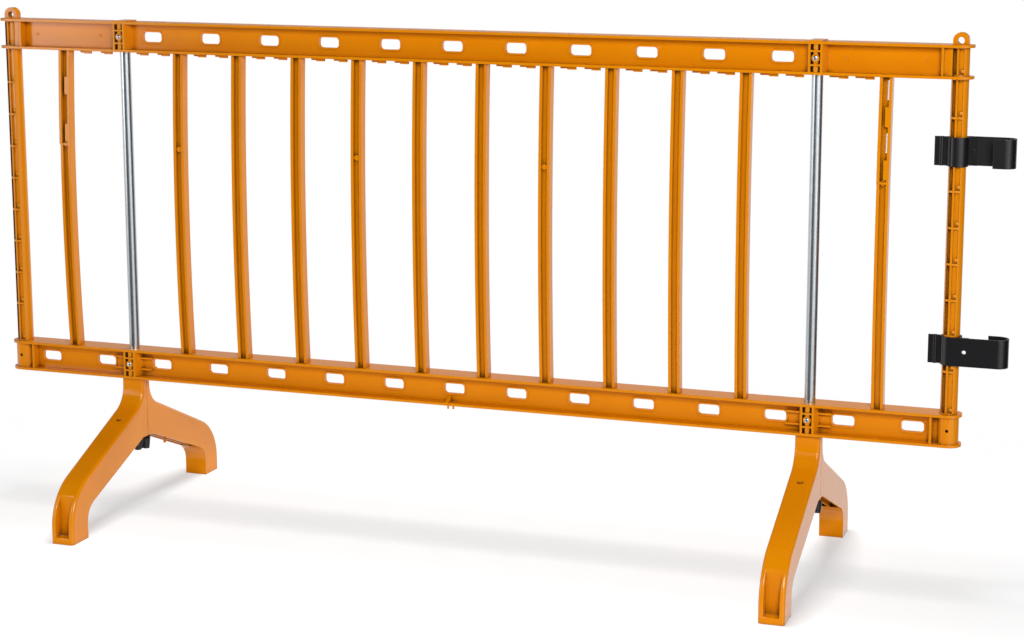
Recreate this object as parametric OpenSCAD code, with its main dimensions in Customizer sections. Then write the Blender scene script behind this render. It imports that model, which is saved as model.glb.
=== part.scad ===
// Pedestrian barrier panel.
// A ribbed plastic panel hangs on two steel tubes that stand in swivelling feet.
// A knob under each foot clamps it to its tube, and two hook clips on one end post
// take hold of the next panel's post.
// Millimetres. X runs along the panel, the front faces -Y, Z is up and the ground is z = 0.

/* [Panel] */
// Spacing of the uprights, centre to centre
bay_pitch = 130; // [118:1:145]
// Front-to-back depth of the rails
rail_depth = 50; // [47:1:56]
// Height of each rail
rail_h = 61; // [56:1:70]
// Clear height between the rails
clear_h = 615; // [560:5:680]
// Height of the bottom rail's underside over the ground
panel_lift = 275; // [268:1:300]

/* [Rail sections] */
// Thickness of the rail flanges
flange_t = 5; // [4:0.5:6]
// Thickness of the rail webs
web_t = 5; // [4:0.5:6]
// Width of the slots through the webs
slot_w = 42; // [34:1:48]
// Height of the slots through the webs
slot_h = 20; // [16:1:24]
// Corner radius of the slots
slot_r = 6.5; // [3:0.5:7]
// Width of the raised rim round a slot
rim_w = 3.5; // [3:0.5:8]
// Height of the raised rim over the web
rim_t = 1.5; // [1:0.5:5]
// Width of a lug under the top rail
lug_w = 17; // [12:1:20]
// Thickness of a lug, front to back
lug_t = 5; // [3:0.5:6]
// How far a lug hangs below the top rail
lug_h = 6; // [4:0.5:9]
// Distance from the web's middle to a row of lugs
lug_row = 12; // [9:0.5:15]

/* [Bars] */
// Width of a bar along the panel
bar_w = 22.5; // [21:0.5:26]
// Depth of a bar, front to back
bar_depth = 19.5; // [16:0.5:22]
// Thickness of a bar's two flanges
bar_flange_t = 5.5; // [4.5:0.5:6.5]
// Thickness of the web between the flanges
bar_web_t = 3; // [2.5:0.5:4]
// How far a bar bows forward at half height
bar_bow = 10; // [4:1:14]
// Distance from the rail's front edge to a bar's front edge at its ends
bar_setback = 6; // [3:0.5:8]
// Height of a cell in the upper stretch of the outermost bars
cell_h = 48; // [40:1:56]
// Height left between the fillings of neighbouring cells
cell_gap = 12; // [8:1:16]
// Width of the window in every other cell
cell_window_w = 4.5; // [3.5:0.5:5.5]
// How far the left flange stands forward along the cells
cell_step = 3; // [1:0.5:4]
// Thickness of the rib that ends the cells
cell_rib_t = 4; // [3:0.5:6]

/* [End posts] */
// Diameter of an end post
post_d = 32; // [29:1:35]
// Width of the spine between a post's two grooves
spine_w = 4; // [3:0.5:5]
// Distance from the post's axis to the middle of its spine
spine_offset = 3.5; // [3:0.5:4.5]
// Width of the deep groove on the spine's left
deep_groove_w = 6.5; // [5:0.5:7]
// Depth of the deep groove below the post's front
deep_groove_depth = 12; // [8:0.5:13]
// Width of the shallow groove on the spine's right
shallow_groove_w = 9; // [7:0.5:10]
// Depth of the shallow groove below the post's front
shallow_groove_depth = 4.5; // [3.5:0.5:6]
// Spacing of the cross ribs in the grooves
post_rib_pitch = 66.5; // [58:0.5:76]
// Thickness of a cross rib
post_rib_t = 4; // [3:0.5:6]
// Height of the first groove cell below the top rail
post_top_cell = 70; // [60:1:80]
// Diameter of the block that ends the bottom rail
end_block_d = 39; // [36:1:42]

/* [Eyes] */
// Width of the eye lug on each end of the top rail
ear_w = 29; // [26:1:32]
// Thickness of the eye lug
ear_t = 14; // [10:1:18]
// Diameter of the eye
eye_d = 12.5; // [10:0.5:13]
// Height of the eye's centre over the rail
eye_lift = 7.5; // [7.2:0.1:10]

/* [Tubes] */
// Outside diameter of the steel tubes
tube_d = 21.3; // [19:0.1:23]
// Wall of the steel tubes
tube_wall = 2; // [1.5:0.1:2.6]
// Width of a tube housing at the rail's front
housing_w = 26; // [24:1:28]
// Width of a tube housing at the web
housing_root_w = 42; // [38:1:48]
// Thickness of the housing's side walls at the front
housing_wall = 4; // [3:0.5:5]
// Wall of the round sleeve inside a housing
sleeve_wall = 3.4; // [2.6:0.1:4]
// Diameter of the pillars in front of and behind the sleeve
pillar_d = 11; // [10:0.5:12]
// How far a housing rises over the top rail
cap_h = 2; // [1:0.5:3]

/* [Tube screws] */
// Diameter of the screws that hold the tubes
screw_d = 4.8; // [4:0.1:5.5]
// Diameter of the screw heads
screw_head_d = 9.6; // [8:0.1:11]
// Height of the screw heads
screw_head_t = 3; // [2:0.1:3.6]
// Diameter of the boss under a screw head
boss_d = 15; // [13:0.5:16]

/* [Feet] */
// Length of a foot, front to back
foot_len = 590; // [560:2:640]
// Width of a foot
foot_w = 49; // [46:1:56]
// Length of the toes at the foot's ends, which start on the straight of the legs
toe_len = 96; // [92:1:102]
// Length of the pads that stand on the ground
pad_len = 56; // [50:1:60]
// Depth of the collar round the tube, front to back
collar_depth = 30; // [28:1:34]
// Wall of the hollow legs
foot_wall = 4.5; // [3.5:0.5:6]
// Slope of the top of the legs, in degrees
leg_top_angle = 25; // [23:0.5:26]
// Slope of the underside of the legs, in degrees
leg_under_angle = 22.5; // [21:0.5:23.5]
// Height of the legs' top line where it would meet the tube's axis
leg_ridge_h = 233; // [228:1:238]
// Height of the legs' underside line where it would meet the tube's axis
leg_arch_h = 158; // [154:1:164]
// How far the flat seat under the hub lies below that line's peak
hub_seat_drop = 8; // [5:0.5:12]
// Thickness of the hub's floor under the tube
hub_floor_t = 15; // [12:0.5:20]
// Radius where the collar runs into the legs
collar_r = 50; // [40:1:56]
// Radius over the end of a leg
heel_r = 104; // [90:1:112]
// Radius inside the end of a leg
arch_r = 40; // [30:1:48]

/* [Knobs] */
// Diameter over the lobes of a knob
knob_d = 56; // [50:1:62]
// Height of the lobed grip
knob_h = 22; // [16:0.5:24]
// Diameter of a lobe at its top
lobe_d = 18; // [14:0.5:20]
// Number of lobes
lobe_count = 6; // [5:1:7]
// Diameter of the knob's threaded stud
stud_d = 10; // [8:0.5:11]

/* [Hook clips] */
// Height of a clip
clip_h = 53; // [44:1:58]
// Wall of a clip
clip_wall = 3.5; // [3:0.1:4.5]
// Distance from the post's axis to the hook's axis
hook_pitch = 85; // [78:1:95]
// Height of the upper clip's middle over the ground
upper_clip_z = 820; // [780:1:850]
// Height of the lower clip's middle over the ground
lower_clip_z = 455; // [440:1:500]
// Diameter of the hole through a clip's arm
clip_hole_d = 7.6; // [5:0.1:9]

/* [Hidden] */

$fn = 64;
// Facets that a full turn of a bowed bar would have
bow_fn = 720;

moulded_orange = "#DD8610";
zinc_grey = "#9DA6AC";
knob_black = "#2B2A2E";

// Clearances and the overrun of every cut
slip_gap = 0.1;
run_gap = 0.1;
free_gap = 0.3;
overrun = 1;

// The uprights: posts at the ends, tubes third from each end, bars elsewhere
upright_count = 16;
last_upright = upright_count - 1;
tube_inset_count = 2;
tube_places = [tube_inset_count, last_upright - tube_inset_count];
bar_places = [for (i = [1 : last_upright - 1]) if (i != tube_places[0] && i != tube_places[1]) i];
function upright_x(i) = (i - last_upright / 2) * bay_pitch;
post_x = upright_x(last_upright);
tube_x = upright_x(tube_places[1]);

// Heights of the panel's lines
rail_mid = rail_h / 2;
rail_inside = rail_h - 2 * flange_t;
post_z = panel_lift + rail_h;
top_rail_z = post_z + clear_h;
rail_top_z = top_rail_z + rail_h;

// The hooks reach past one end, so the panel's middle lies half that far from the origin
clip_inner_r = post_d / 2 + free_gap;
clip_outer_r = clip_inner_r + clip_wall;
hook_overhang = hook_pitch + clip_outer_r - rail_depth / 2;
panel_mid_x = -hook_overhang / 2;

// Rail details
end_rib_t = 4.5;
end_rib_offset = 30;
end_rib_inset = 3;
end_fill_depth = 30;
end_fill_bite = 3;
housing_rib_t = 3.5;
housing_rib_share = 0.25;
boss_inset = 1;
pillar_inset = 1.5;
tie_rib_t = 3.5;
tie_rib_depth = 12;
lug_free_count = 1;
lug_front_shares = [-0.11, 0.26];
lug_rear_shares = [-0.28, 0.09];
end_hole_d = 6;
end_hole_depth = 12;

// The round stud in each cell of a post's shallow groove
groove_stud_d = 6;
groove_stud_lift = 7;
groove_stud_inset = 2;

// Cells in the upper stretch of the two outermost bars, and the stop that ends a channel
cell_count = 4;
cell_corner_r = 1.5;
stop_d = 11;
stop_inset = 3;
bow_spare_share = 1.1;

// Screws
screw_len = 20;
boss_front = rail_depth / 2 - boss_inset;

// Foot details
hub_depth = 68;
leg_rib_t = 3;
pocket_side = 10;
pocket_depth = 22;
pocket_sill = 13;
drain_w = 13;
drain_len = 9;
drain_y = 72;
seam_w = 1.6;
seam_depth = 0.6;
peg_d = 6;
peg_drop = 8;
peg_y = 108;
foot_half = foot_len / 2;
pad_in = foot_half - pad_len;
collar_top = panel_lift - free_gap;
hub_seat_h = leg_arch_h - hub_seat_drop;
socket_floor = hub_seat_h + hub_floor_t;
function leg_top(y) = leg_ridge_h - y * tan(leg_top_angle);
function leg_under(y) = leg_arch_h - y * tan(leg_under_angle);
seat_half = (leg_arch_h - hub_seat_h) / tan(leg_under_angle);

// Tube ends and the knob's stud
tube_foot_z = socket_floor + free_gap;
tube_head_z = rail_top_z - flange_t - free_gap;
insert_len = 28;
insert_r = tube_d / 2 - tube_wall - slip_gap;
knob_neck_h = 5;
knob_neck_d = 30;
knob_top = hub_seat_h - free_gap;
knob_core_d = 42;
lobe_taper_share = 0.75;
stud_in_knob = 14;
stud_top = tube_foot_z + insert_len - 2 * free_gap;

// Clip details
finger_end_angle = -122;
wrap_end_angle = 231;
tab_reach = 40.5;
tab_bead_d = 9;
tab_bead_x = 29.5;
root_angle = 58;
root_start = 13;
root_end = 34;
root_t = 3.5;
return_len = 18.5;
clip_hole_x = 26;
plug_d = 6;
plug_t = 1.2;

function unit(v) = v / norm(v);

// The panel's own frame, moved so that the whole part is centred on the origin
module panel_frame() {
    translate([panel_mid_x, 0, 0])
        children();
}

module rounded_rect(w, h, r) {
    square([w, h - 2 * r], center = true);
    square([w - 2 * r, h], center = true);
    for (x = [-1, 1], y = [-1, 1])
        translate([x * (w / 2 - r), y * (h / 2 - r)])
            circle(r = r);
}

// A slot outline with half-round ends
module stadium(w, h) {
    square([w - h, h], center = true);
    for (s = [-1, 1])
        translate([s * (w - h) / 2, 0])
            circle(d = h);
}

// The sliver between a sharp corner and an arc of radius r that touches both of its edges;
// it runs on past the corner, so that it overlaps what it is added to or cut from
module corner_sliver(corner, toward_a, toward_b, r) {
    a = unit(toward_a - corner);
    b = unit(toward_b - corner);
    inward = unit(a + b);
    half = acos(a * b) / 2;
    tangent = r / tan(half);
    middle = corner + inward * r / sin(half);
    difference() {
        polygon([corner - inward * overrun, corner + a * tangent, middle, corner + b * tangent]);
        translate(middle)
            circle(r = r, $fn = 4 * $fn);
    }
}

// A ring between two radii, from one angle to another
module ring_sector(inner, outer, from, to) {
    fan_steps = 6;
    step = (to - from) / fan_steps;
    intersection() {
        difference() {
            circle(r = outer);
            circle(r = inner);
        }
        polygon(concat([[0, 0]], [for (k = [0 : fan_steps])
            2 * outer * [cos(from + k * step), sin(from + k * step)]]));
    }
}

// Extrudes an outline drawn in X and Z, centred on the web's plane
module across(depth) {
    rotate([90, 0, 0])
        linear_extrude(depth, center = true)
            children();
}

// Extrudes an outline drawn in X and Z from a given depth below the post's front outwards
module from_front(depth) {
    translate([0, depth - post_d / 2, 0])
        rotate([90, 0, 0])
            linear_extrude(depth + overrun)
                children();
}

// One cell of a post's two grooves; a round stud stands near the bottom of the shallow one
module groove_cell(h) {
    from_front(deep_groove_depth)
        translate([-spine_offset - spine_w / 2 - deep_groove_w, 0])
            square([deep_groove_w, h]);
    from_front(shallow_groove_depth)
        translate([spine_w / 2 - spine_offset, 0])
            difference() {
                square([shallow_groove_w, h]);
                translate([shallow_groove_w - groove_stud_inset, groove_stud_lift])
                    circle(d = groove_stud_d);
            }
}

// A stretch of post: a round bar grooved front and back, with a cross rib at each given height
module post_length(h, ribs) {
    levels = concat([0], ribs, [h]);
    difference() {
        cylinder(d = post_d, h = h);
        for (k = [0 : len(levels) - 2], back = [0, 1])
            mirror([0, back, 0])
                translate([0, 0, levels[k] + post_rib_t / 2])
                    groove_cell(levels[k + 1] - levels[k] - post_rib_t);
    }
}

module rail_plan() {
    square([2 * post_x, rail_depth], center = true);
    for (s = [-1, 1])
        translate([s * post_x, 0])
            circle(d = rail_depth);
}

// Flanges, web and end ribs that both rails share
module rail_section() {
    for (z = [0, rail_h - flange_t])
        translate([0, 0, z])
            linear_extrude(flange_t)
                rail_plan();
    translate([-post_x, -web_t / 2, 0])
        cube([2 * post_x, web_t, rail_h]);
    end_rib_d = rail_depth - 2 * end_rib_inset;
    for (s = [-1, 1])
        translate([s * (post_x - end_rib_offset) - end_rib_t / 2, -end_rib_d / 2, 0])
            cube([end_rib_t, end_rib_d, rail_h]);
}

// The box round a tube: flared sides, three cells front and back, a sleeve, pillars and a screw boss
module tube_housing() {
    cell_w = housing_w - 2 * housing_wall;
    rib_z = housing_rib_share * rail_inside;
    levels = [flange_t, rail_mid - rib_z, rail_mid + rib_z, rail_h - flange_t];
    difference() {
        linear_extrude(rail_h)
            polygon([[-housing_w / 2, -rail_depth / 2], [housing_w / 2, -rail_depth / 2],
                     [housing_root_w / 2, 0], [housing_w / 2, rail_depth / 2],
                     [-housing_w / 2, rail_depth / 2], [-housing_root_w / 2, 0]]);
        for (k = [0 : len(levels) - 2]) {
            low = levels[k] + (k > 0 ? housing_rib_t / 2 : 0);
            high = levels[k + 1] - (k < len(levels) - 2 ? housing_rib_t / 2 : 0);
            translate([-cell_w / 2, -rail_depth / 2 - overrun, low])
                cube([cell_w, rail_depth + 2 * overrun, high - low]);
        }
    }
    cylinder(r = tube_d / 2 + sleeve_wall, h = rail_h);
    for (s = [-1, 1])
        translate([0, s * (rail_depth / 2 - pillar_inset - pillar_d / 2), 0])
            cylinder(d = pillar_d, h = rail_h);
    translate([0, 0, rail_mid])
        rotate([90, 0, 0])
            cylinder(d = boss_d, h = boss_front);
}

// What is cut from a rail at a tube: the bore up to a given height, and the screw's hole
module tube_bore(height) {
    translate([0, 0, -overrun])
        cylinder(r = tube_d / 2 + slip_gap, h = height + overrun);
    translate([0, 0, rail_mid])
        rotate([90, 0, 0])
            cylinder(r = screw_d / 2 + slip_gap, h = boss_front + overrun);
}

module slot_rims(bays) {
    for (i = bays)
        translate([(upright_x(i) + upright_x(i + 1)) / 2, 0, rail_mid])
            across(web_t + 2 * rim_t)
                rounded_rect(slot_w + 2 * rim_w, slot_h + 2 * rim_w, slot_r + rim_w);
}

module slot_cuts(bays) {
    for (i = bays)
        translate([(upright_x(i) + upright_x(i + 1)) / 2, 0, rail_mid])
            across(rail_depth + 2 * overrun)
                rounded_rect(slot_w, slot_h, slot_r);
}

// Two rows of staggered lugs under the top rail, between the bars
module rail_lugs() {
    for (i = [lug_free_count : last_upright - 1 - lug_free_count], row = [-1, 1]) {
        bay_mid = (upright_x(i) + upright_x(i + 1)) / 2;
        for (share = (row < 0 ? lug_front_shares : lug_rear_shares))
            translate([bay_mid + share * bay_pitch - lug_w / 2, row * lug_row - lug_t / 2, -lug_h])
                cube([lug_w, lug_t, lug_h + flange_t / 2]);
    }
}

// Blocks between the top rail's end ribs and its posts
module end_fills() {
    for (s = [0, 1])
        mirror([s, 0, 0])
            translate([post_x - end_rib_offset, -end_fill_depth / 2, 0])
                cube([end_rib_offset - post_d / 2 + end_fill_bite, end_fill_depth, rail_h]);
}

module top_rail() {
    bays = [tube_places[0] : tube_places[1] - 1];
    panel_frame()
        translate([0, 0, top_rail_z])
            color(moulded_orange)
                difference() {
                    union() {
                        rail_section();
                        slot_rims(bays);
                        rail_lugs();
                        end_fills();
                        for (s = [-1, 1]) {
                            translate([s * tube_x, 0, 0])
                                tube_housing();
                            translate([s * tube_x - housing_w / 2, -rail_depth / 2, rail_h - flange_t])
                                cube([housing_w, rail_depth, flange_t + cap_h]);
                            translate([s * post_x, 0, flange_t])
                                post_length(rail_inside, []);
                        }
                    }
                    slot_cuts(bays);
                    for (s = [-1, 1])
                        translate([s * tube_x, 0, 0])
                            tube_bore(rail_h - flange_t);
                }
}

// Ribs that tie a tube housing to the slots beside it
module tie_ribs() {
    reach = bay_pitch / 2 - slot_w / 2;
    for (side = [-1, 1], z = [-1, 1])
        translate([side * reach / 2, 0, rail_mid + z * (slot_h + rim_w) / 2])
            cube([reach, 2 * tie_rib_depth, tie_rib_t], center = true);
}

module bottom_rail() {
    bays = [0 : last_upright - 1];
    panel_frame()
        translate([0, 0, panel_lift])
            color(moulded_orange)
                difference() {
                    union() {
                        rail_section();
                        slot_rims(bays);
                        for (s = [-1, 1]) {
                            translate([s * tube_x, 0, 0]) {
                                tube_housing();
                                tie_ribs();
                            }
                            translate([s * post_x, 0, 0])
                                cylinder(d = end_block_d, h = rail_h);
                        }
                    }
                    slot_cuts(bays);
                    for (s = [-1, 1]) {
                        translate([s * tube_x, 0, 0])
                            tube_bore(rail_h + overrun);
                        translate([s * post_x, end_hole_depth - end_block_d / 2, rail_mid])
                            rotate([90, 0, 0])
                                cylinder(d = end_hole_d, h = end_hole_depth + overrun);
                    }
                }
}

// Cross ribs of an end post, counted down from the top rail
post_ribs_down = [for (z = clear_h - post_top_cell; z > post_top_cell / 2; z = z - post_rib_pitch) z];
post_ribs = [for (k = [len(post_ribs_down) - 1 : -1 : 0]) post_ribs_down[k]];

module end_post(side) {
    panel_frame()
        translate([side * post_x, 0, post_z])
            color(moulded_orange)
                post_length(clear_h, post_ribs);
}

module ear(side) {
    panel_frame()
        translate([side * post_x, 0, rail_top_z])
            color(moulded_orange)
                difference() {
                    across(ear_t)
                        intersection() {
                            union() {
                                translate([0, eye_lift])
                                    circle(d = ear_w);
                                translate([-ear_w / 2, 0])
                                    square([ear_w, eye_lift]);
                            }
                            translate([-ear_w, 0])
                                square([2 * ear_w, 2 * ear_w]);
                        }
                    translate([0, 0, eye_lift])
                        rotate([90, 0, 0])
                            cylinder(d = eye_d, h = ear_t + 2 * overrun, center = true);
                }
}

// The long arc of a bar: an outline drawn in depth and width, bowed forward between the rails
module bowed() {
    half_h = clear_h / 2;
    bow_r = (half_h * half_h + bar_bow * bar_bow) / (2 * bar_bow);
    bow_half = bow_spare_share * asin(half_h / bow_r);
    end_y = -rail_depth / 2 + bar_setback + bar_depth / 2;
    translate([0, end_y - bar_bow + bow_r, half_h])
        rotate([-90, 0, 0])
            rotate([0, 90, 0])
                rotate([0, 0, -bow_half])
                    rotate_extrude(angle = 2 * bow_half, $fn = bow_fn)
                        translate([bow_r, 0])
                            children();
}

// A slab of a bar's surroundings between two heights
module bar_slab(low, high) {
    translate([-bar_w, -2 * rail_depth, low])
        cube([2 * bar_w, 4 * rail_depth, high - low]);
}

module bar_section() {
    square([bar_web_t, bar_w], center = true);
    for (s = [-1, 1])
        translate([0, s * (bar_w - bar_flange_t) / 2])
            square([bar_depth, bar_flange_t], center = true);
}

// The outline of one cell's filling or window, seen from the front: its left edge, width and height
module cell_outline(left, w, h) {
    translate([left + w / 2, h / 2])
        rounded_rect(w, h, cell_corner_r);
}

// What the cells add to a bar: a forward step, fillings behind and in front by turns, and a rib
module cell_fillings() {
    channel_w = bar_w - 2 * bar_flange_t;
    filling_h = cell_h - cell_gap;
    intersection() {
        bowed()
            translate([0, -bar_w / 2])
                square([bar_depth / 2 + cell_step, bar_flange_t]);
        bar_slab(clear_h - cell_count * cell_h, clear_h);
    }
    for (k = [0 : cell_count - 1]) {
        behind = k % 2 == 0;
        w = behind ? channel_w - cell_window_w : channel_w / 2;
        left = behind ? -channel_w / 2 : channel_w / 2 - w;
        intersection() {
            bowed()
                translate([behind ? -bar_depth / 2 : 0, left - bar_flange_t / 2])
                    square([bar_depth / 2, w + bar_flange_t]);
            translate([0, 0, clear_h - k * cell_h - cell_gap / 2 - filling_h])
                across(4 * rail_depth)
                    cell_outline(left - (behind ? bar_flange_t / 2 : 0), w + bar_flange_t / 2, filling_h);
        }
    }
    intersection() {
        bowed()
            square([bar_depth, bar_w - bar_flange_t], center = true);
        translate([0, 0, clear_h - cell_count * cell_h])
            bar_slab(-cell_rib_t / 2, cell_rib_t / 2);
    }
}

module cell_windows() {
    filling_h = cell_h - cell_gap;
    for (k = [0 : 2 : cell_count - 1])
        translate([0, 0, clear_h - k * cell_h - cell_gap / 2 - filling_h])
            across(4 * rail_depth)
                cell_outline(bar_w / 2 - bar_flange_t - cell_window_w, cell_window_w, filling_h);
}

// An H-shaped bar; the outermost ones carry cells at the top, and a stopped one has a round stop
module bar(number, stopped) {
    outermost = number == 1 || number == len(bar_places);
    stop_z = clear_h - cell_count * cell_h;
    panel_frame()
        translate([upright_x(bar_places[number - 1]), 0, post_z])
            color(moulded_orange) {
                difference() {
                    union() {
                        intersection() {
                            bowed()
                                bar_section();
                            bar_slab(0, clear_h);
                        }
                        if (outermost)
                            cell_fillings();
                    }
                    if (outermost)
                        cell_windows();
                }
                if (stopped)
                    intersection() {
                        bowed()
                            translate([-stop_inset / 2, 0])
                                square([bar_depth - stop_inset, bar_w], center = true);
                        translate([0, 0, stop_z])
                            rotate([90, 0, 0])
                                cylinder(d = stop_d, h = 4 * rail_depth, center = true);
                    }
            }
}

module tube(side) {
    panel_frame()
        translate([side * tube_x, 0, 0])
            color(zinc_grey)
                difference() {
                    translate([0, 0, tube_foot_z])
                        cylinder(d = tube_d, h = tube_head_z - tube_foot_z);
                    translate([0, 0, tube_foot_z - overrun])
                        cylinder(d = tube_d - 2 * tube_wall, h = tube_head_z - tube_foot_z + 2 * overrun);
                    for (z = [panel_lift, top_rail_z])
                        translate([0, 0, z + rail_mid])
                            rotate([90, 0, 0])
                                cylinder(r = screw_d / 2 + slip_gap, h = tube_d);
                }
}

// A pan-head screw whose head's underside is at the origin, pointing back along +Y
module pan_screw() {
    edge_r = screw_head_t / 2;
    rotate([90, 0, 0])
        rotate_extrude() {
            square([screw_head_d / 2, edge_r]);
            translate([0, edge_r])
                square([screw_head_d / 2 - edge_r, edge_r]);
            intersection() {
                translate([screw_head_d / 2 - edge_r, edge_r])
                    circle(r = edge_r);
                square([screw_head_d / 2, screw_head_t]);
            }
        }
    rotate([-90, 0, 0])
        cylinder(d = screw_d, h = screw_len);
}

module tube_screws() {
    panel_frame()
        color(zinc_grey)
            for (s = [-1, 1], z = [panel_lift, top_rail_z])
                translate([s * tube_x, -boss_front, z + rail_mid])
                    pan_screw();
}

// The threaded plug in the foot end of a tube
module insert(side) {
    panel_frame()
        translate([side * tube_x, 0, tube_foot_z])
            color(zinc_grey)
                difference() {
                    cylinder(r = insert_r, h = insert_len);
                    translate([0, 0, -overrun])
                        cylinder(r = stud_d / 2 + run_gap, h = insert_len + 2 * overrun);
                }
}

// Half of a foot's side outline, from the tube's axis to one end
module foot_half_outline() {
    collar_half = collar_depth / 2;
    neck = [collar_half, leg_top(collar_half)];
    heel = [foot_half, leg_top(foot_half)];
    arch = [pad_in, leg_under(pad_in)];
    seat = [seat_half, hub_seat_h];
    difference() {
        union() {
            polygon([[0, hub_seat_h], seat, arch, [pad_in, 0], [foot_half, 0], heel, neck,
                     [collar_half, collar_top], [0, collar_top]]);
            corner_sliver(neck, [collar_half, collar_top], heel, collar_r);
            corner_sliver(arch, seat, [pad_in, 0], arch_r);
        }
        corner_sliver(heel, neck, [foot_half, 0], heel_r);
    }
}

// The hollow of one leg, open along the underside
module leg_hollow_outline() {
    skin = foot_wall / cos(leg_top_angle);
    start = hub_depth / 2;
    mouth = pad_in - arch_r * (1 - sin(leg_under_angle)) - foot_wall;
    polygon([[start, leg_under(start) - overrun], [start, leg_top(start) - skin],
             [pad_in, leg_top(pad_in) - skin], [pad_in, leg_under(mouth) + foot_wall],
             [mouth, leg_under(mouth)], [mouth, leg_under(mouth) - overrun]]);
}

// Stands an outline drawn in Y and Z up across the panel, with a given width along X
module lengthways(width) {
    rotate([90, 0, 90])
        linear_extrude(width, center = true)
            children();
}

module foot_solid() {
    hollow_w = (foot_w - 2 * foot_wall - leg_rib_t) / 2;
    difference() {
        union() {
            difference() {
                for (end = [0, 1])
                    mirror([0, end, 0])
                        lengthways(foot_w)
                            foot_half_outline();
                for (end = [0, 1], x = [-1, 1])
                    mirror([0, end, 0])
                        translate([x * (hollow_w + leg_rib_t) / 2, 0, 0])
                            lengthways(hollow_w)
                                leg_hollow_outline();
            }
            translate([0, peg_y, leg_under(peg_y) - peg_drop])
                cylinder(d = peg_d, h = leg_top(peg_y) - leg_under(peg_y));
        }
        for (end = [0, 1])
            mirror([0, end, 0])
                translate([pocket_side - foot_w / 2, foot_half - pocket_depth, pocket_sill])
                    cube([foot_w - 2 * pocket_side, pocket_depth + overrun, heel_r]);
        translate([0, -drain_y, leg_top(drain_y) - 2 * foot_wall])
            linear_extrude(4 * foot_wall)
                stadium(drain_w, drain_len);
        for (x = [-1, 1])
            translate([x * foot_w / 2, 0, collar_top / 2])
                cube([2 * seam_depth, seam_w, collar_top + 2 * overrun], center = true);
        translate([0, 0, socket_floor])
            cylinder(r = tube_d / 2 + run_gap, h = collar_top);
        cylinder(r = stud_d / 2 + free_gap, h = collar_top);
    }
}

// The stretch of a foot between its toes
module foot_middle() {
    translate([-foot_w, toe_len - foot_half, -overrun])
        cube([2 * foot_w, foot_len - 2 * toe_len, 2 * collar_top]);
}

// Hub and legs of a foot
module foot(side) {
    panel_frame()
        translate([side * tube_x, 0, 0])
            color(moulded_orange)
                intersection() {
                    foot_solid();
                    foot_middle();
                }
}

// Front and rear toe of a foot
module toes(side) {
    panel_frame()
        translate([side * tube_x, 0, 0])
            color(moulded_orange)
                difference() {
                    foot_solid();
                    foot_middle();
                }
}

module knob(side) {
    lobe_ring = (knob_d - lobe_d) / 2;
    grip_z = knob_top - knob_neck_h - knob_h;
    panel_frame()
        translate([side * tube_x, 0, grip_z])
            color(knob_black)
                difference() {
                    union() {
                        cylinder(d1 = knob_core_d * lobe_taper_share, d2 = knob_core_d, h = knob_h);
                        translate([0, 0, knob_h])
                            cylinder(d = knob_neck_d, h = knob_neck_h);
                        for (k = [0 : lobe_count - 1])
                            rotate([0, 0, 360 * k / lobe_count])
                                translate([lobe_ring, 0, 0])
                                    cylinder(d1 = lobe_d * lobe_taper_share, d2 = lobe_d, h = knob_h);
                    }
                    translate([0, 0, knob_h + knob_neck_h - stud_in_knob])
                        cylinder(r = stud_d / 2 + slip_gap, h = stud_in_knob + overrun);
                }
}

module stud(side) {
    stud_foot = knob_top - stud_in_knob;
    panel_frame()
        translate([side * tube_x, 0, stud_foot])
            color(zinc_grey)
                cylinder(d = stud_d, h = stud_top - stud_foot);
}

// A half-round end for a wall of the clips, beyond the line y = 0
module round_tip() {
    intersection() {
        circle(d = clip_wall);
        translate([-clip_wall, 0])
            square([2 * clip_wall, clip_wall]);
    }
}

// Plan of a clip about the post's axis: the arm runs along the back to the hook, and a tab points away
module clip_plan() {
    mean_r = (clip_inner_r + clip_outer_r) / 2;
    translate([0, clip_inner_r])
        square([hook_pitch, clip_wall]);
    ring_sector(clip_inner_r, clip_outer_r, 90, wrap_end_angle);
    translate([-tab_reach, -clip_wall / 2])
        square([tab_reach - mean_r, clip_wall]);
    translate([-tab_reach, 0])
        rotate(90)
            round_tip();
    translate([-tab_bead_x, 0])
        circle(d = tab_bead_d);
    ring_sector(clip_inner_r, clip_outer_r, finger_end_angle, root_angle);
    translate([root_start, clip_inner_r - root_t])
        square([root_end - root_start, root_t + clip_wall / 2]);
    translate([hook_pitch, 0])
        ring_sector(clip_inner_r, clip_outer_r, -90, 90);
    translate([hook_pitch - return_len, -clip_outer_r])
        square([return_len, clip_wall]);
    translate([hook_pitch - return_len, -mean_r])
        rotate(90)
            round_tip();
}

// A clip at a given height, turned over about X where asked; its hole is open or plugged at one end
module hook_clip(z, turn, open) {
    hole_depth = clip_wall + (open ? root_t : 0);
    panel_frame()
        translate([post_x, 0, z])
            rotate([turn, 0, 0])
                color(knob_black) {
                    difference() {
                        linear_extrude(clip_h, center = true)
                            clip_plan();
                        translate([clip_hole_x, clip_outer_r + overrun, 0])
                            rotate([90, 0, 0])
                                cylinder(d = clip_hole_d, h = hole_depth + (open ? 2 : 1) * overrun);
                    }
                    if (!open)
                        translate([clip_hole_x, clip_inner_r - root_t + overrun, 0])
                            rotate([90, 0, 0])
                                cylinder(d = plug_d, h = plug_t + overrun);
                }
}

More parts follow.
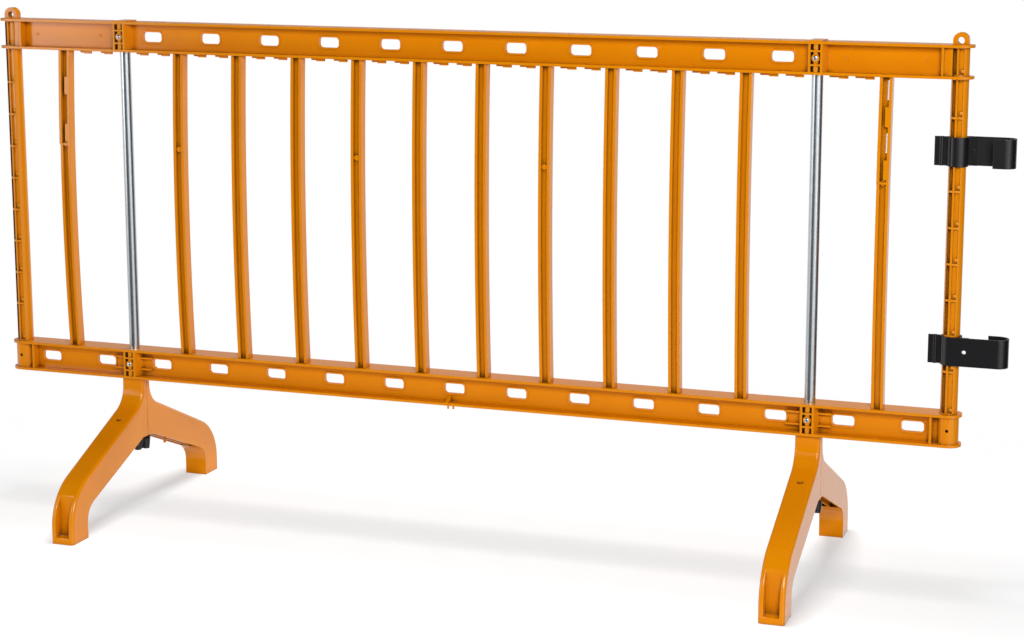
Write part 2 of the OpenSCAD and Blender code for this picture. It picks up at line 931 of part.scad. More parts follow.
top_rail();
bottom_rail();
end_post(-1);  // left_end_post
end_post(1);  // right_end_post
ear(-1);  // left_ear
ear(1);  // right_ear
bar(1, true);  // bar_01
bar(2, true);  // bar_02
bar(3, false);  // bar_03
bar(4, false);  // bar_04
bar(5, true);  // bar_05
bar(6, false);  // bar_06
bar(7, false);  // bar_07
bar(8, true);  // bar_08
bar(9, false);  // bar_09
bar(10, false);  // bar_10
bar(11, false);  // bar_11
bar(12, true);  // bar_12
tube(-1);  // left_tube
tube(1);  // right_tube
tube_screws();
insert(-1);  // left_insert
insert(1);  // right_insert
foot(-1);  // left_foot
foot(1);  // right_foot
toes(-1);  // left_toes
toes(1);  // right_toes
knob(-1);  // left_knob
knob(1);  // right_knob
stud(-1);  // left_stud
stud(1);  // right_stud
hook_clip(upper_clip_z, 0, false);  // upper_clip
hook_clip(lower_clip_z, 180, true);  // lower_clip
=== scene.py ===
"""Looks of a plastic pedestrian barrier panel on swivelling feet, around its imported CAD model."""

import math

import bmesh
import bpy
from mathutils import Matrix, Vector


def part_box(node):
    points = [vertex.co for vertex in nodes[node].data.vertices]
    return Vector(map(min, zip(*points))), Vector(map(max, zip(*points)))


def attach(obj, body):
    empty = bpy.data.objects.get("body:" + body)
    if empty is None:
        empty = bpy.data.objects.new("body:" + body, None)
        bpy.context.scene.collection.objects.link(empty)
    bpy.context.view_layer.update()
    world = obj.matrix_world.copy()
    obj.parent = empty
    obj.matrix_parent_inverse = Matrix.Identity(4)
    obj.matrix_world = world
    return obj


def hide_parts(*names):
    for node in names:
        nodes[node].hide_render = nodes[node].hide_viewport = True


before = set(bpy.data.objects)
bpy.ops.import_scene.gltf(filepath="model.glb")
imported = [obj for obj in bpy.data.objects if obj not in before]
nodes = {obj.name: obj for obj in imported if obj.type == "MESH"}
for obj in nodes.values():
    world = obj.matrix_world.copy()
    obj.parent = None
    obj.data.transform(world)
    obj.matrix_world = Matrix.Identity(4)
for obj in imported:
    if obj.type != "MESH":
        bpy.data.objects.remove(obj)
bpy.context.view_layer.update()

MM = 0.001
MM_PER_M = 1000

# The photograph's camera, found from the panel's uprights, rails and pads.
PHOTO_WIDTH_PX = 1024
PHOTO_HEIGHT_PX = 642
FOCAL_PX = 2026.8
PRINCIPAL_PX = (627.1, 244.8)
SENSOR_MM = 36.0
CAMERA_FROM_PANEL_MM = (1467.3, -3642.5, 1255.1)
CAMERA_RIGHT = (0.95587, 0.29367, 0.00820)
CAMERA_DOWN = (0.05649, -0.15633, -0.98609)
CAMERA_AHEAD = (-0.28831, 0.94304, -0.16602)

SIDES = ("left", "right")
BARS = ["bar_%02d" % number for number in range(1, 13)]
PANEL_NODES = ["top_rail", "bottom_rail"] + BARS
PANEL_NODES += [side + part for side in SIDES for part in ("_end_post", "_ear")]
ZINC_NODES = [side + part for side in SIDES for part in ("_tube", "_insert", "_stud")]
CLIPS = ("upper_clip", "lower_clip")


def middle(node):
    """The middle of a CAD node's box."""
    low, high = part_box(node)
    return (low + high) / 2


panel_mid_x = (middle("left_end_post").x + middle("right_end_post").x) / 2


# Materials


def linear(hex_colour):
    """An sRGB hex colour as linear RGBA."""
    channels = [int(hex_colour[i : i + 2], 16) / 255 for i in (1, 3, 5)]
    return tuple(
        c / 12.92 if c <= 0.04045 else ((c + 0.055) / 1.055) ** 2.4 for c in channels
    ) + (1.0,)


def add(tree, kind, settings=None, inputs=None):
    """Adds a node; an input that is a socket is linked, and any other is a value."""
    made = tree.nodes.new(kind)
    for name, value in (settings or {}).items():
        setattr(made, name, value)
    for name, value in (inputs or {}).items():
        if isinstance(value, bpy.types.NodeSocket):
            tree.links.new(value, made.inputs[name])
        else:
            made.inputs[name].default_value = value
    return made


def new_material(name):
    """An empty material and its tree."""
    made = bpy.data.materials.new(name)
    made.use_nodes = True
    made.node_tree.nodes.clear()
    return made, made.node_tree


def moulded_polypropylene(name, edge_mm, groove_mm):
    """Orange polypropylene from a polished mould: glossy, with faint flow clouds and soft edges,
    and painted shade: brown painted into grooves of about that width, where shade falls."""
    made, tree = new_material(name)
    place = add(tree, "ShaderNodeTexCoord").outputs["Object"]
    cloud_mm = 70
    clouds = add(
        tree,
        "ShaderNodeTexNoise",
        inputs={"Vector": place, "Scale": MM_PER_M / cloud_mm, "Detail": 3.0},
    )
    colour = add(
        tree,
        "ShaderNodeMix",
        {"data_type": "RGBA"},
        {0: clouds.outputs["Fac"], 6: linear("#DA8100"), 7: linear("#E48C00")},
    )
    # Painted shade: ambient occlusion darkens the colour towards brown in grooves, corners and
    # pockets, where shade falls.
    opening = add(
        tree, "ShaderNodeAmbientOcclusion", {"samples": 8}, {"Distance": groove_mm * MM}
    )
    unshaded_share = add(
        tree,
        "ShaderNodeMapRange",
        inputs={"Value": opening.outputs["AO"], "From Min": 0.2, "From Max": 0.62},
    )
    painted_groove_shade = add(
        tree,
        "ShaderNodeMix",
        {"data_type": "RGBA"},
        {0: unshaded_share.outputs["Result"], 6: linear("#5E3300"), 7: colour.outputs[2]},
    )
    gloss = add(
        tree,
        "ShaderNodeMapRange",
        inputs={"Value": clouds.outputs["Fac"], "To Min": 0.15, "To Max": 0.21},
    )
    edges = add(tree, "ShaderNodeBevel", {"samples": 6}, {"Radius": edge_mm * MM})
    ripple_mm = 14
    ripple = add(
        tree,
        "ShaderNodeTexNoise",
        inputs={"Vector": place, "Scale": MM_PER_M / ripple_mm, "Detail": 1.0},
    )
    surface = add(
        tree,
        "ShaderNodeBump",
        inputs={
            "Height": ripple.outputs["Fac"],
            "Strength": 0.03,
            "Distance": 1.0 * MM,
            "Normal": edges.outputs["Normal"],
        },
    )
    shader = add(
        tree,
        "ShaderNodeBsdfPrincipled",
        inputs={
            "Base Color": painted_groove_shade.outputs[2],
            "Roughness": gloss.outputs["Result"],
            "IOR": 1.49,
            "Specular IOR Level": 0.4,
            "Normal": surface.outputs["Normal"],
        },
    )
    add(tree, "ShaderNodeOutputMaterial", inputs={"Surface": shader.outputs[0]})
    return made


def zinc_plated_steel(name, pale, dark, roughness):
    """Drawn steel with bright zinc plating: bluish grey, with fine streaks along its length."""
    made, tree = new_material(name)
    place = add(tree, "ShaderNodeTexCoord").outputs["Object"]
    streak_mm = 6
    streak_length_mm = 400
    stretched = add(
        tree,
        "ShaderNodeMapping",
        inputs={
            "Vector": place,
            "Scale": [MM_PER_M / size for size in (streak_mm, streak_mm, streak_length_mm)],
        },
    )
    streaks = add(
        tree,
        "ShaderNodeTexNoise",
        inputs={"Vector": stretched.outputs["Vector"], "Scale": 1.0, "Detail": 4.0},
    )
    colour = add(
        tree,
        "ShaderNodeMix",
        {"data_type": "RGBA"},
        {0: streaks.outputs["Fac"], 6: linear(dark), 7: linear(pale)},
    )
    shader = add(
        tree,
        "ShaderNodeBsdfPrincipled",
        inputs={"Base Color": colour.outputs[2], "Metallic": 1.0, "Roughness": roughness},
    )
    add(tree, "ShaderNodeOutputMaterial", inputs={"Surface": shader.outputs[0]})
    return made


def black_nylon(name):
    """Black glass-filled nylon: satin, with the fine grain of a spark-eroded mould."""
    made, tree = new_material(name)
    place = add(tree, "ShaderNodeTexCoord").outputs["Object"]
    # The real grain is near 0.1 mm and would not show, so it is drawn coarser.
    grain_mm = 1.6
    grain = add(
        tree,
        "ShaderNodeTexNoise",
        inputs={"Vector": place, "Scale": MM_PER_M / grain_mm, "Detail": 2.0},
    )
    edge_mm = 0.8
    edges = add(tree, "ShaderNodeBevel", {"samples": 6}, {"Radius": edge_mm * MM})
    surface = add(
        tree,
        "ShaderNodeBump",
        inputs={
            "Height": grain.outputs["Fac"],
            "Strength": 0.12,
            "Distance": 0.2 * MM,
            "Normal": edges.outputs["Normal"],
        },
    )
    shader = add(
        tree,
        "ShaderNodeBsdfPrincipled",
        inputs={
            "Base Color": linear("#111013"),
            "Roughness": 0.32,
            "IOR": 1.53,
            "Normal": surface.outputs["Normal"],
        },
    )
    add(tree, "ShaderNodeOutputMaterial", inputs={"Surface": shader.outputs[0]})
    return made


panel_orange = moulded_polypropylene("moulded_polypropylene_panel", edge_mm=1.2, groove_mm=14)
foot_orange = moulded_polypropylene("moulded_polypropylene_foot", edge_mm=1.5, groove_mm=28)
tube_zinc = zinc_plated_steel("zinc_plated_tube", "#CDD4D8", "#B4BEC4", roughness=0.30)
screw_zinc = zinc_plated_steel("zinc_plated_screw", "#DADCDC", "#B9BDBD", roughness=0.24)
clip_black = black_nylon("black_nylon")


def paint(obj, material):
    """Gives an object that one material."""
    obj.data.materials.clear()
    obj.data.materials.append(material)


for name in PANEL_NODES:
    paint(nodes[name], panel_orange)
for name in ZINC_NODES:
    paint(nodes[name], tube_zinc)
for side in SIDES:
    paint(nodes[side + "_knob"], clip_black)


# Pieces with rounded edges


# Points closer than this are one point, and faces within this angle are one face.
SLACK = 0.05 * MM
FLAT = math.radians(0.5)
# Rolled edges turn by less than this from face to face, and other edges shade sharp.
CREASE_DEG = 38


def link(name, mesh):
    """A new object in the scene with that mesh."""
    made = bpy.data.objects.new(name, mesh)
    bpy.context.scene.collection.objects.link(made)
    return made


def mesh_object(name, work):
    """A new object with the mesh that was worked on."""
    mesh = bpy.data.meshes.new(name)
    work.to_mesh(mesh)
    work.free()
    return link(name, mesh)


def bake(obj):
    """Turns an object with modifiers into a plain mesh."""
    depsgraph = bpy.context.evaluated_depsgraph_get()
    plain = bpy.data.meshes.new_from_object(obj.evaluated_get(depsgraph))
    obj.modifiers.clear()
    obj.data = plain


def seat(piece, body, slot, *replaced):
    """Hands a finished piece to the body that carries it."""
    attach(piece, body)
    if replaced:
        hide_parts(*replaced)


def merged_copy(names):
    """One mesh of some CAD nodes, with their loose triangles merged."""
    work = bmesh.new()
    for name in names:
        work.from_mesh(nodes[name].data)
    bmesh.ops.remove_doubles(work, verts=work.verts, dist=SLACK)
    return work


def join_flats(work):
    """Joins the triangles of each flat face."""
    bmesh.ops.dissolve_limit(work, angle_limit=FLAT, verts=work.verts, edges=work.edges)


def sharp(edge, least_deg):
    """Whether an edge has two faces, with at least that turn from one to the other."""
    return len(edge.link_faces) == 2 and edge.calc_face_angle() > math.radians(least_deg)


def roll_edges(work, edges, radius_mm, segments):
    """Rounds those edges."""
    bmesh.ops.bevel(
        work,
        geom=edges,
        offset=radius_mm * MM,
        segments=segments,
        profile=0.5,
        affect="EDGES",
        clamp_overlap=False,
        loop_slide=False,
    )


def smooth_object(name, work):
    """An object whose flat faces shade flat and whose rolled edges shade round."""
    made = mesh_object(name, work)
    made.data.shade_smooth()
    made.data.set_sharp_from_angle(angle=math.radians(CREASE_DEG))
    weights = made.modifiers.new("flat_faces", "WEIGHTED_NORMAL")
    weights.keep_sharp = True
    bake(made)
    return made


FOOT_EDGE_MM = 6.0
FOOT_EDGE_SEGMENTS = 5
FOOT_EDGE_DEG = 50
POCKET_EDGE_MM = 2.5
POCKET_EDGE_SEGMENTS = 3
POCKET_EDGE_DEG = 25
# How far a face's normal may lean back and still count as looking outwards
LEAN_BACK = 0.1


def faces_outward(edge):
    """Whether both faces of an edge look up or away from the foot's middle."""
    outward = math.copysign(1, edge.verts[0].co.y)
    return all(
        min(face.normal.y * outward, face.normal.z) > -LEAN_BACK for face in edge.link_faces
    )


def foot_side_edges(work, low, high):
    """The long edges between a foot's sides and its upper skin."""
    seam_clear = 3 * MM
    end_clear = 1 * MM
    found = []
    for edge in work.edges:
        ends = [vertex.co for vertex in edge.verts]
        on_side = any(
            all(abs(end.x - side_x) < SLACK for end in ends) for side_x in (low.x, high.x)
        )
        clear = all(abs(end.y) > seam_clear for end in ends)
        below_top = any(end.z < high.z - end_clear for end in ends)
        above_ground = any(end.z > end_clear for end in ends)
        placed = on_side and clear and below_top and above_ground
        if placed and faces_outward(edge) and sharp(edge, FOOT_EDGE_DEG):
            found.append(edge)
    return found


def toe_pocket_edges(work, low, high):
    """The rims of the pockets in a foot's toes."""
    toe_start = high.y + 25 * MM
    side_clear = 7 * MM
    ground_clear = 5 * MM
    found = []
    for edge in work.edges:
        ends = [vertex.co for vertex in edge.verts]
        inside = all(low.x + side_clear < end.x < high.x - side_clear for end in ends)
        in_toe = all(abs(end.y) > toe_start and end.z > ground_clear for end in ends)
        rim = edge.is_convex and sharp(edge, POCKET_EDGE_DEG)
        if inside and in_toe and rim and faces_outward(edge):
            found.append(edge)
    return found


DRAIN_Y = -72 * MM
# Upward share of the normal on a leg's top
TOP_LEAST_Z = 0.8


def cut_across_drain(work):
    """Divides a leg's top straight across its drain hole, so no cut runs askew to the sides."""
    tops = [
        face
        for face in work.faces
        if face.normal.z > TOP_LEAST_Z
        and min(vertex.co.y for vertex in face.verts) < DRAIN_Y - SLACK
        and max(vertex.co.y for vertex in face.verts) > DRAIN_Y + SLACK
    ]
    edges = list({edge for face in tops for edge in face.edges})
    vertices = list({vertex for face in tops for vertex in face.verts})
    bmesh.ops.bisect_plane(
        work,
        geom=vertices + edges + tops,
        dist=SLACK,
        plane_co=(0, DRAIN_Y, 0),
        plane_no=(0, 1, 0),
    )
    work.normal_update()
    askew = [
        edge
        for edge in work.edges
        if len(edge.link_faces) == 2
        and edge.calc_face_angle() < FLAT
        and all(face.normal.z > TOP_LEAST_Z for face in edge.link_faces)
        and any(abs(vertex.co.y - DRAIN_Y) > SLACK for vertex in edge.verts)
    ]
    bmesh.ops.dissolve_edges(work, edges=askew, use_verts=False)
    work.normal_update()


def rounded_foot(side):
    """A foot as one moulding, with the edges of its sides and its pockets rolled over."""
    foot, toes = side + "_foot", side + "_toes"
    low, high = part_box(foot)
    work = merged_copy((foot, toes))
    seam = [
        face
        for face in work.faces
        if all(abs(abs(vertex.co.y) - high.y) < SLACK for vertex in face.verts)
    ]
    bmesh.ops.delete(work, geom=seam, context="FACES")
    join_flats(work)
    work.normal_update()
    cut_across_drain(work)
    roll_edges(work, toe_pocket_edges(work, low, high), POCKET_EDGE_MM, POCKET_EDGE_SEGMENTS)
    work.normal_update()
    roll_edges(work, foot_side_edges(work, low, high), FOOT_EDGE_MM, FOOT_EDGE_SEGMENTS)
    piece = smooth_object(foot + "_rolled", work)
    paint(piece, foot_orange)
    seat(piece, foot, "moulded_orange", foot, toes)


CLIP_EDGE_MM = 0.2
CLIP_EDGE_SEGMENTS = 2
CLIP_EDGE_DEG = 40


def softened_clip(node):
    """A clip with its sharp outer edges broken."""
    work = merged_copy((node,))
    join_flats(work)
    work.normal_update()
    edges = [edge for edge in work.edges if sharp(edge, CLIP_EDGE_DEG) and edge.is_convex]
    roll_edges(work, edges, CLIP_EDGE_MM, CLIP_EDGE_SEGMENTS)
    piece = smooth_object(node + "_soft", work)
    paint(piece, clip_black)
    seat(piece, node, "black_plastic", node)


for side in SIDES:
    rounded_foot(side)
for name in CLIPS:
    softened_clip(name)


# Screws and the marks that the mould leaves


def copies_group():
    """Geometry Nodes that set a turned copy of an object on every point."""
    group = bpy.data.node_groups.new("copies_on_points", "GeometryNodeTree")
    sockets = group.interface
    sockets.new_socket("Points", in_out="INPUT", socket_type="NodeSocketGeometry")
    sockets.new_socket("Copy", in_out="INPUT", socket_type="NodeSocketObject")
    sockets.new_socket("Most Turn", in_out="INPUT", socket_type="NodeSocketFloat")
    sockets.new_socket("Seed", in_out="INPUT", socket_type="NodeSocketInt")
    sockets.new_socket("Finish", in_out="INPUT", socket_type="NodeSocketMaterial")
    sockets.new_socket("Geometry", in_out="OUTPUT", socket_type="NodeSocketGeometry")
    given = add(group, "NodeGroupInput").outputs
    copy = add(group, "GeometryNodeObjectInfo", inputs={"Object": given["Copy"]})
    turn = add(
        group,
        "FunctionNodeRandomValue",
        {"data_type": "FLOAT"},
        {2: 0.0, 3: given["Most Turn"], "Seed": given["Seed"]},
    )
    about_y = add(group, "ShaderNodeCombineXYZ", inputs={"Y": turn.outputs[1]})
    placed = add(
        group,
        "GeometryNodeInstanceOnPoints",
        inputs={
            "Points": given["Points"],
            "Instance": copy.outputs["Geometry"],
            "Rotation": about_y.outputs["Vector"],
        },
    )
    real = add(
        group, "GeometryNodeRealizeInstances", inputs={"Geometry": placed.outputs["Instances"]}
    )
    finished = add(
        group,
        "GeometryNodeSetMaterial",
        inputs={"Geometry": real.outputs["Geometry"], "Material": given["Finish"]},
    )
    add(group, "NodeGroupOutput", inputs={"Geometry": finished.outputs["Geometry"]})
    return group


COPIES = copies_group()


def set_copies(name, pattern, places, most_turn_deg, seed, finish):
    """One plain mesh with a copy of the pattern at every place."""
    mesh = bpy.data.meshes.new(name)
    mesh.from_pydata([tuple(place) for place in places], [], [])
    made = link(name, mesh)
    nodes_modifier = made.modifiers.new("copies", "NODES")
    nodes_modifier.node_group = COPIES
    values = {
        "Copy": pattern,
        "Most Turn": math.radians(most_turn_deg),
        "Seed": seed,
        "Finish": finish,
    }
    for item in COPIES.interface.items_tree:
        if item.in_out == "INPUT" and item.name in values:
            nodes_modifier[item.identifier] = values[item.name]
    bake(made)
    bpy.data.objects.remove(pattern)
    return made


def turned(name, profile, segments):
    """A solid of revolution about -Y, from (radius, height to the front) points in mm."""
    weld = 0.005 * MM
    work = bmesh.new()
    line = [work.verts.new((radius * MM, -height * MM, 0)) for radius, height in profile]
    edges = [work.edges.new(pair) for pair in zip(line, line[1:])]
    bmesh.ops.spin(
        work,
        geom=line + edges,
        cent=(0, 0, 0),
        axis=(0, 1, 0),
        angle=math.tau,
        steps=segments,
        use_duplicate=False,
    )
    bmesh.ops.remove_doubles(work, verts=work.verts, dist=weld)
    bmesh.ops.recalc_face_normals(work, faces=work.faces)
    return mesh_object(name, work)


def add_box(work, low_mm, high_mm):
    """Adds a box between two corners in mm."""
    size = [high - low for low, high in zip(low_mm, high_mm)]
    centre = [(high + low) / 2 for low, high in zip(low_mm, high_mm)]
    place = Matrix.Translation(Vector(centre) * MM) @ Matrix.Diagonal(Vector(size) * MM).to_4x4()
    bmesh.ops.create_cube(work, size=1.0, matrix=place)


SCREW_HEAD_R_MM = 4.8
SCREW_HEAD_RISE_MM = 3.0
SCREW_SHANK_R_MM = 2.4
SCREW_LENGTH_MM = 20.0
SCREW_SEGMENTS = 32
SCREW_CREASE_DEG = 40
RECESS_REACH_MM = 2.6
RECESS_WIDTH_MM = 1.1
RECESS_DEPTH_MM = 1.6


def cross_screw():
    """A pan-head screw with a cross recess, its head's underside at the origin."""
    round_steps = 5
    shoulder = SCREW_HEAD_RISE_MM * 0.35
    dome_rise = SCREW_HEAD_RISE_MM - shoulder
    angles = [step / round_steps * math.pi / 2 for step in range(round_steps + 1)]
    dome = [
        (SCREW_HEAD_R_MM * math.cos(angle), shoulder + dome_rise * math.sin(angle))
        for angle in angles
    ]
    profile = [(0, -SCREW_LENGTH_MM), (SCREW_SHANK_R_MM, -SCREW_LENGTH_MM), (SCREW_SHANK_R_MM, 0)]
    screw = turned("screw", profile + [(SCREW_HEAD_R_MM, 0)] + dome, SCREW_SEGMENTS)
    half = RECESS_WIDTH_MM / 2
    front = -2 * SCREW_HEAD_RISE_MM
    bottom = RECESS_DEPTH_MM - SCREW_HEAD_RISE_MM
    for reach_x, reach_z in ((RECESS_REACH_MM, half), (half, RECESS_REACH_MM)):
        recess = bmesh.new()
        add_box(recess, (-reach_x, front, -reach_z), (reach_x, bottom, reach_z))
        cutter = mesh_object("recess", recess)
        cut = screw.modifiers.new("recess", "BOOLEAN")
        cut.operation = "DIFFERENCE"
        cut.solver = "EXACT"
        cut.object = cutter
        bake(screw)
        bpy.data.objects.remove(cutter)
    screw.data.shade_smooth()
    screw.data.set_sharp_from_angle(angle=math.radians(SCREW_CREASE_DEG))
    return screw


screws_low, screws_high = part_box("tube_screws")
RAIL_LEVELS = (
    screws_low.z + SCREW_HEAD_R_MM * MM,
    screws_high.z - SCREW_HEAD_R_MM * MM,
)


def tube_screws():
    """The four screws that hold the tubes, each stopped at its own angle."""
    head_back = screws_low.y + SCREW_HEAD_RISE_MM * MM
    places = [
        (middle(side + "_tube").x, head_back, level) for side in SIDES for level in RAIL_LEVELS
    ]
    made = set_copies(
        "cross_screws", cross_screw(), places, most_turn_deg=90, seed=4, finish=screw_zinc
    )
    seat(made, "panel", "zinc_steel", "tube_screws")


PIN_MARK_R_MM = 3.0
PIN_MARK_RISE_MM = 1.6
PIN_MARK_SEGMENTS = 24
# Distances from the panel's middle
PIN_MARK_X_MM = (770, 915)
WEB_FRONT_MM = 2.5


def pin_marks():
    """Round ejector marks in the plain end panels of the top rail."""
    rim_r = PIN_MARK_R_MM * 0.8
    hollow_r = PIN_MARK_R_MM * 0.6
    hollow = PIN_MARK_RISE_MM * 0.4
    profile = [
        (0, -hollow),
        (PIN_MARK_R_MM, -hollow),
        (rim_r, PIN_MARK_RISE_MM),
        (hollow_r, hollow),
        (0, hollow),
    ]
    places = [
        (panel_mid_x + sign * x * MM, -WEB_FRONT_MM * MM, RAIL_LEVELS[1])
        for sign in (-1, 1)
        for x in PIN_MARK_X_MM
    ]
    mark = turned("pin_mark", profile, PIN_MARK_SEGMENTS)
    made = set_copies("pin_marks", mark, places, most_turn_deg=90, seed=1, finish=panel_orange)
    seat(made, "panel", "moulded_orange")


GATE_X_MM = (-13.0, -6.0)
GATE_RISE_MM = 13.0
GATE_NUB_X_MM = (-6.0, 5.0)
GATE_NUB_DROP_MM = 6.0
GATE_NUB_WIDTH_MM = 3.0
GATE_NUB_DEPTH_MM = 4.0
FLANGE_MM = 5.0
RAIL_FRONT_MM = 25.0
# How far a mark reaches into the rail that carries it
BITE_MM = 0.5


def gate_marks():
    """What is left of the mould's gate amid the bottom rail: a gusset, and two nubs below it."""
    rail_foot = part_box("bottom_rail")[0].z / MM
    seat_z = rail_foot + FLANGE_MM - BITE_MM
    web_y = BITE_MM - WEB_FRONT_MM
    lip_y = BITE_MM - RAIL_FRONT_MM
    work = bmesh.new()
    corners = [
        work.verts.new(Vector((panel_mid_x / MM + x, y, z)) * MM)
        for x in GATE_X_MM
        for y, z in ((web_y, seat_z), (lip_y, seat_z), (web_y, seat_z + GATE_RISE_MM))
    ]
    bmesh.ops.convex_hull(work, input=corners)
    for x in GATE_NUB_X_MM:
        nub_x = panel_mid_x / MM + x
        half = GATE_NUB_WIDTH_MM / 2
        add_box(
            work,
            (nub_x - half, lip_y, rail_foot - GATE_NUB_DROP_MM),
            (nub_x + half, lip_y + GATE_NUB_DEPTH_MM, rail_foot + BITE_MM),
        )
    bmesh.ops.recalc_face_normals(work, faces=work.faces)
    made = mesh_object("gate_marks", work)
    paint(made, panel_orange)
    seat(made, "panel", "moulded_orange")


tube_screws()
pin_marks()
gate_marks()


# Stage: floor, light and camera


def white_floor():
    """A pale floor that keeps the shadow near the part and runs out to plain white."""
    made, tree = new_material("pale_floor")
    place = add(tree, "ShaderNodeTexCoord").outputs["Object"]
    distance = add(
        tree, "ShaderNodeVectorMath", {"operation": "LENGTH"}, {0: place}
    ).outputs["Value"]
    far = add(
        tree,
        "ShaderNodeMapRange",
        {"interpolation_type": "SMOOTHSTEP"},
        {"Value": distance, "From Min": 0.8, "From Max": 1.7, "To Min": 0.6, "To Max": 1.0},
    ).outputs["Result"]
    seen = add(tree, "ShaderNodeLightPath").outputs["Is Camera Ray"]
    share = add(tree, "ShaderNodeMath", {"operation": "MULTIPLY"}, {0: far, 1: seen})
    matt = add(tree, "ShaderNodeBsdfDiffuse", inputs={"Color": linear("#F6F6F6")})
    white = add(
        tree, "ShaderNodeEmission", inputs={"Color": linear("#FFFFFF"), "Strength": 1.0}
    )
    mixed = add(tree, "ShaderNodeMixShader", inputs={"Fac": share.outputs[0]})
    tree.links.new(matt.outputs[0], mixed.inputs[1])
    tree.links.new(white.outputs[0], mixed.inputs[2])
    add(tree, "ShaderNodeOutputMaterial", inputs={"Surface": mixed.outputs[0]})
    return made


def dark_card():
    """Dark grey card, as the dim sides of a studio."""
    made, tree = new_material("dark_card")
    grey = add(
        tree, "ShaderNodeEmission", inputs={"Color": linear("#303030"), "Strength": 1.0}
    )
    add(tree, "ShaderNodeOutputMaterial", inputs={"Surface": grey.outputs[0]})
    return made


def rectangle(across, up):
    """The corners of a rectangle between two pairs of limits, in order."""
    return [(across[0], up[0]), (across[1], up[0]), (across[1], up[1]), (across[0], up[1])]


def stage_plane(name, corners, material):
    """A plane that belongs to the stage and not to the part."""
    mesh = bpy.data.meshes.new(name)
    mesh.from_pydata(corners, [], [(0, 1, 2, 3)])
    made = link(name, mesh)
    paint(made, material)
    return made


FLOOR_SPAN = (-9.0, 9.0)
FLOOR_DROP = 0.2 * MM
floor = stage_plane(
    "floor", [(x, y, -FLOOR_DROP) for x, y in rectangle(FLOOR_SPAN, FLOOR_SPAN)], white_floor()
)
floor.visible_glossy = False

FRONT_CARD_Y = -5.2
FRONT_CARD_X = (-6.5, 2.6)
RIGHT_CARD_X = 4.2
RIGHT_CARD_Y = (-1.2, 4.5)
CARD_Z = (-2.6, 2.4)
BACK_CARD_Y = 4.0
BACK_CARD_X = (-6.0, 5.0)
BACK_CARD_Z = (1.33, 3.4)
CEILING_Z = 3.4
CEILING_X = (-5.0, 5.0)
CEILING_Y = (-5.0, 4.0)
DARK_CARDS = {
    "card_behind_camera": [(x, FRONT_CARD_Y, z) for x, z in rectangle(FRONT_CARD_X, CARD_Z)],
    "card_on_the_right": [(RIGHT_CARD_X, y, z) for y, z in rectangle(RIGHT_CARD_Y, CARD_Z)],
    "card_above_backdrop": [(x, BACK_CARD_Y, z) for x, z in rectangle(BACK_CARD_X, BACK_CARD_Z)],
    "dark_ceiling": [(x, y, CEILING_Z) for x, y in rectangle(CEILING_X, CEILING_Y)],
}

# Only gloss sees the dark cards.
card_grey = dark_card()
for name, corners in DARK_CARDS.items():
    card = stage_plane(name, corners, card_grey)
    card.visible_camera = False
    card.visible_diffuse = False
    card.visible_transmission = False
    card.visible_shadow = False


def studio_world():
    """White for what the camera, metal and gloss see, and a softer level that lights the part."""
    world = bpy.data.worlds.new("studio")
    bpy.context.scene.world = world
    world.use_nodes = True
    tree = world.node_tree
    tree.nodes.clear()
    rays = add(tree, "ShaderNodeLightPath")
    seen = add(
        tree,
        "ShaderNodeMath",
        {"operation": "MAXIMUM"},
        {0: rays.outputs["Is Camera Ray"], 1: rays.outputs["Is Glossy Ray"]},
    )
    seen = add(
        tree,
        "ShaderNodeMath",
        {"operation": "MAXIMUM"},
        {0: seen.outputs[0], 1: rays.outputs["Is Transmission Ray"]},
    )
    level = add(
        tree,
        "ShaderNodeMapRange",
        inputs={"Value": seen.outputs[0], "To Min": 0.06, "To Max": 1.0},
    )
    light = add(
        tree,
        "ShaderNodeBackground",
        inputs={"Color": linear("#FFFFFF"), "Strength": level.outputs["Result"]},
    )
    add(tree, "ShaderNodeOutputWorld", inputs={"Surface": light.outputs[0]})


def floor_receivers(name, state):
    """A collection that keeps a lamp on the floor only, or off it."""
    made = bpy.data.collections.new(name)
    made.objects.link(floor)
    made.collection_objects[0].light_linking.link_state = state
    return made


FLOOR_ONLY = floor_receivers("floor_only", "INCLUDE")
PART_ONLY = floor_receivers("part_only", "EXCLUDE")


def softbox(name, place, target, size, watts, receivers=PART_ONLY, in_gloss=True):
    """A rectangular area lamp that looks at a point."""
    lamp = bpy.data.lights.new(name, "AREA")
    lamp.shape = "RECTANGLE"
    lamp.size, lamp.size_y = size
    lamp.energy = watts
    made = bpy.data.objects.new(name, lamp)
    made.location = place
    made.rotation_mode = "QUATERNION"
    made.rotation_quaternion = (Vector(target) - Vector(place)).to_track_quat("-Z", "Y")
    made.visible_camera = False
    made.visible_glossy = in_gloss
    made.light_linking.receiver_collection = receivers
    bpy.context.scene.collection.objects.link(made)


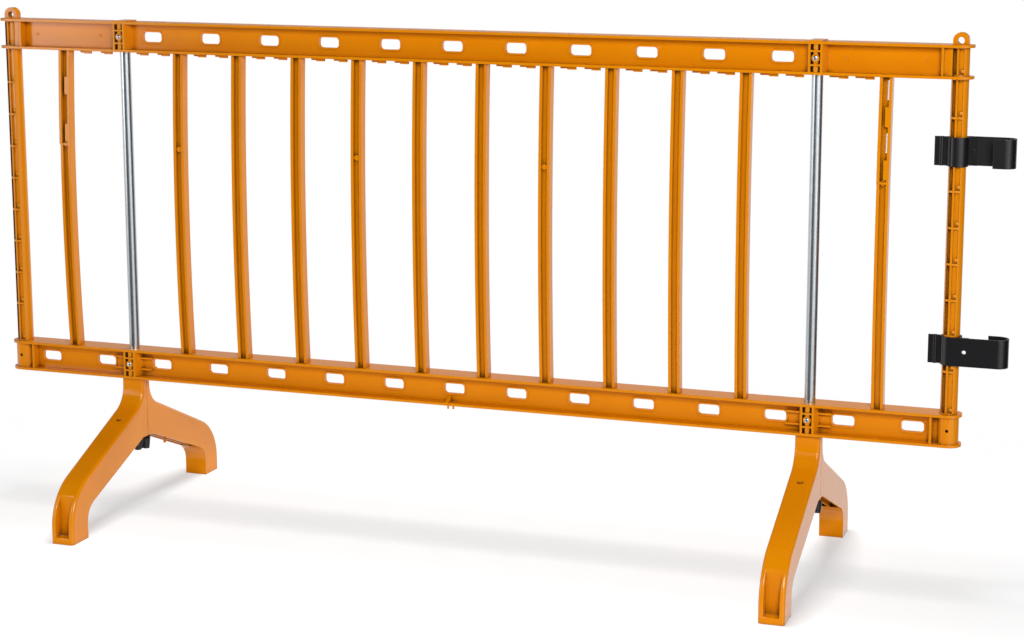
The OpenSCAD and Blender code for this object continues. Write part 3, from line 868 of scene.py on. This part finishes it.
studio_world()
softbox(
    "key_near_camera",
    place=(1.8, -3.2, 2.2),
    target=(-0.1, 0.0, 0.6),
    size=(1.2, 1.2),
    watts=106,
)
softbox(
    "left_front",
    place=(-3.05, -2.6, 0.95),
    target=(-0.3, 0.0, 0.7),
    size=(1.2, 1.1),
    watts=20,
)
softbox(
    "right_strip",
    place=(2.6, -1.6, 0.9),
    target=(0.3, 0.0, 0.7),
    size=(0.25, 1.6),
    watts=4,
)
softbox(
    "overhead",
    place=(0.0, -0.05, 3.0),
    target=(0.0, -0.05, 0.0),
    size=(2.8, 0.35),
    watts=13,
    in_gloss=False,
)
softbox(
    "back_fill",
    place=(0.3, 2.6, 3.2),
    target=(0.0, 0.0, 0.5),
    size=(3.0, 1.2),
    watts=100,
    in_gloss=False,
)
softbox(
    "floor_wash",
    place=(0.0, 0.0, 4.0),
    target=(0.0, 0.0, 0.0),
    size=(1.6, 1.4),
    watts=200,
    receivers=FLOOR_ONLY,
    in_gloss=False,
)


def photo_camera():
    """The camera that the photograph was taken with, as the part's lines give it."""
    lens = bpy.data.cameras.new("photo_camera")
    lens.sensor_fit = "HORIZONTAL"
    lens.sensor_width = SENSOR_MM
    lens.lens = FOCAL_PX / PHOTO_WIDTH_PX * SENSOR_MM
    lens.shift_x = (PHOTO_WIDTH_PX / 2 - PRINCIPAL_PX[0]) / PHOTO_WIDTH_PX
    lens.shift_y = (PRINCIPAL_PX[1] - PHOTO_HEIGHT_PX / 2) / PHOTO_WIDTH_PX
    camera = bpy.data.objects.new("photo_camera", lens)
    turn = Matrix(
        (CAMERA_RIGHT, [-c for c in CAMERA_DOWN], [-c for c in CAMERA_AHEAD])
    ).transposed()
    place = Vector(CAMERA_FROM_PANEL_MM) * MM + Vector((panel_mid_x, 0, 0))
    camera.matrix_world = Matrix.Translation(place) @ turn.to_4x4()
    bpy.context.scene.collection.objects.link(camera)
    bpy.context.scene.camera = camera


photo_camera()
bpy.context.scene.view_settings.view_transform = "Standard"
